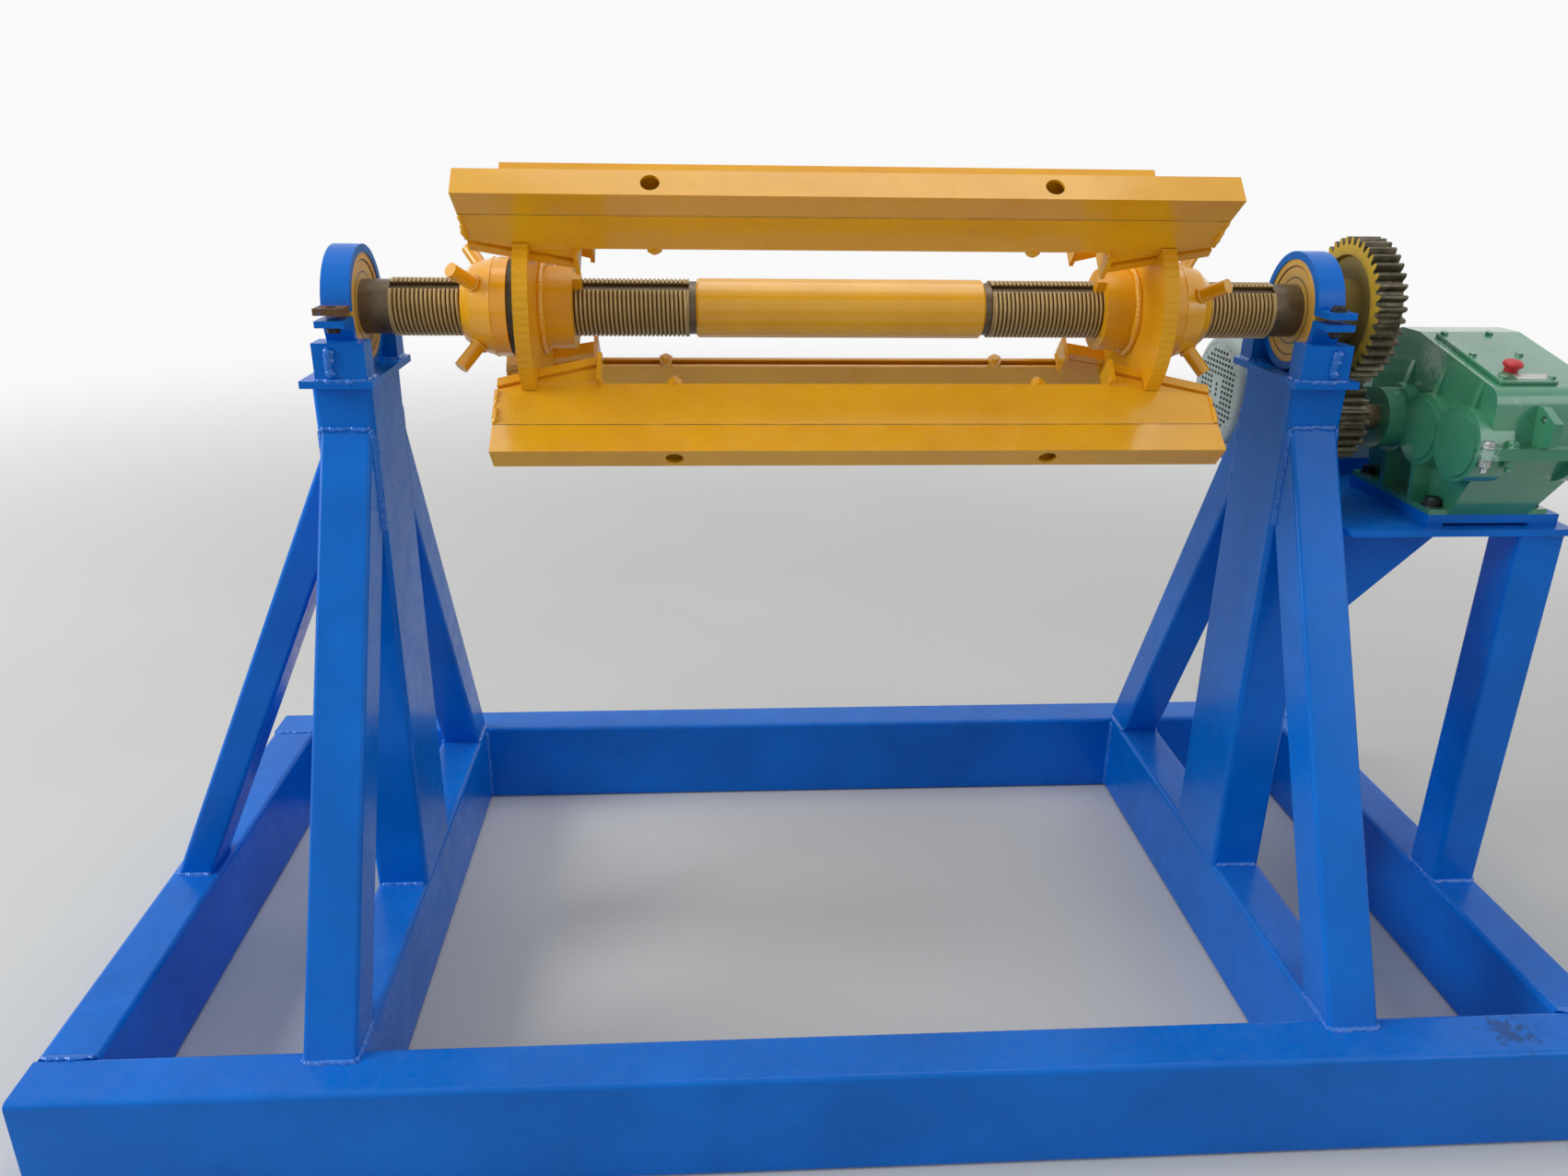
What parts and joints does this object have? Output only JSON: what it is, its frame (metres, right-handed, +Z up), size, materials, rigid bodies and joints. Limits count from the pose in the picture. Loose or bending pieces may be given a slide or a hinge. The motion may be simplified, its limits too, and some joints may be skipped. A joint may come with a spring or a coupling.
{
  "type": "decoiler",
  "caption": "Powered decoiler: a blue welded frame with two pedestals carries a yellow expanding mandrel of four petals, driven by a gear pair from a green gearbox and a motor",
  "frame": {"origin": "on the floor under the middle of the base frame", "axes": "+X along the mandrel towards the gearbox, +Y to the rear, +Z up"},
  "size_m": [2.14, 1.05, 1.2507],
  "materials": {
    "painted_blue": "gloss",
    "painted_yellow": "gloss",
    "painted_green": "gloss",
    "machined_steel": "satin",
    "dark_steel": "matte",
    "painted_grey": "satin",
    "red_plastic": "matte"
  },
  "bodies": {
    "frame": {"beam_cross_left": "painted_blue", "beam_cross_right": "painted_blue", "beam_end_left": "painted_blue", "beam_end_right": "painted_blue", "beam_front": "painted_blue", "beam_rear": "painted_blue", "bearing_left": "painted_yellow", "bearing_right": "painted_yellow", "brace_left": "painted_blue", "breather": "red_plastic", "column_left": "painted_blue", "column_right": "painted_blue", "gearbox_end_caps": "painted_green", "gearbox_lower": "painted_green", "gearbox_rails": "painted_blue", "gearbox_upper": "painted_green", "housing_cap_left": "painted_blue", "housing_cap_right": "painted_blue", "housing_lower_left": "painted_blue", "housing_lower_right": "painted_blue", "input_shaft": "machined_steel", "inspection_cover": "painted_green", "leg_front_left": "painted_blue", "leg_front_right": "painted_blue", "leg_rear_left": "painted_blue", "leg_rear_right": "painted_blue", "lifting_lug": "painted_green", "motor_body": "painted_grey", "motor_fan_cowl": "painted_grey", "motor_shaft": "machined_steel", "motor_tray": "painted_blue", "platform_gusset": "painted_blue", "platform_plate": "painted_blue", "platform_post": "painted_blue", "terminal_box": "painted_grey", "top_plate_left": "painted_blue", "top_plate_right": "painted_blue"},
    "spindle": {"spindle_shaft": "machined_steel", "centre_tube": "painted_yellow", "spindle_gear": "painted_yellow"},
    "pinion": {"pinion": "machined_steel", "output_shaft": "machined_steel"},
    "carrier_left": {"carrier_left": "painted_yellow", "thrust_ring_left": "dark_steel"},
    "nut_left": {"nut_left": "painted_yellow"},
    "carrier_right": {"carrier_right": "painted_yellow", "thrust_ring_right": "dark_steel"},
    "nut_right": {"nut_right": "painted_yellow"},
    "petal_top_rear": {"petal_top_rear": "painted_yellow", "wedge_rails_top_rear": "painted_yellow"},
    "petal_top_front": {"petal_top_front": "painted_yellow", "wedge_rails_top_front": "painted_yellow"},
    "petal_bottom_front": {"petal_bottom_front": "painted_yellow", "wedge_rails_bottom_front": "painted_yellow"},
    "petal_bottom_rear": {"petal_bottom_rear": "painted_yellow", "wedge_rails_bottom_rear": "painted_yellow"}
  },
  "joints": [
    {"name": "spindle_turn", "type": "hinge", "parent": "frame", "child": "spindle", "pos_m": [0, 0, 1.063], "axis": [1, 0, 0], "continuous": true},
    {"name": "pinion_turn", "type": "hinge", "parent": "frame", "child": "pinion", "pos_m": [0.758, 0, 0.9055], "axis": [1, 0, 0], "continuous": true},
    {"name": "carrier_left_slide", "type": "slide", "parent": "spindle", "child": "carrier_left", "axis": [1, 0, 0], "range_m": [-0.02401, 0.03601]},
    {"name": "nut_left_turn", "type": "hinge", "parent": "carrier_left", "child": "nut_left", "pos_m": [-0.49, 0, 1.063], "axis": [1, 0, 0], "range_deg": [-1440, 2160]},
    {"name": "carrier_right_slide", "type": "slide", "parent": "spindle", "child": "carrier_right", "axis": [-1, 0, 0], "range_m": [-0.02401, 0.03601]},
    {"name": "nut_right_turn", "type": "hinge", "parent": "carrier_right", "child": "nut_right", "pos_m": [0.49, 0, 1.063], "axis": [-1, 0, 0], "range_deg": [-1440.5, 2160.5]},
    {"name": "petal_top_rear_slide", "type": "slide", "parent": "spindle", "child": "petal_top_rear", "axis": [0, 0.7071, 0.7071], "range_m": [-0.00644, 0.00966]},
    {"name": "petal_top_front_slide", "type": "slide", "parent": "spindle", "child": "petal_top_front", "axis": [0, -0.7071, 0.7071], "range_m": [-0.00644, 0.00966]},
    {"name": "petal_bottom_front_slide", "type": "slide", "parent": "spindle", "child": "petal_bottom_front", "axis": [0, -0.7071, -0.7071], "range_m": [-0.00644, 0.00966]},
    {"name": "petal_bottom_rear_slide", "type": "slide", "parent": "spindle", "child": "petal_bottom_rear", "axis": [0, 0.7071, -0.7071], "range_m": [-0.00644, 0.00966]}
  ],
  "couplings": [
    {"joint": "pinion_turn", "follows": "spindle_turn", "ratio": -1.7391},
    {"joint": "carrier_left_slide", "follows": "nut_left_turn", "m_per_rad": 0.00095493},
    {"joint": "carrier_right_slide", "follows": "nut_left_turn", "m_per_rad": 0.00095493},
    {"joint": "nut_right_turn", "follows": "nut_left_turn", "ratio": 1},
    {"joint": "petal_top_rear_slide", "follows": "nut_left_turn", "m_per_rad": 0.00025587},
    {"joint": "petal_top_front_slide", "follows": "nut_left_turn", "m_per_rad": 0.00025587},
    {"joint": "petal_bottom_front_slide", "follows": "nut_left_turn", "m_per_rad": 0.00025587},
    {"joint": "petal_bottom_rear_slide", "follows": "nut_left_turn", "m_per_rad": 0.00025587}
  ]
}
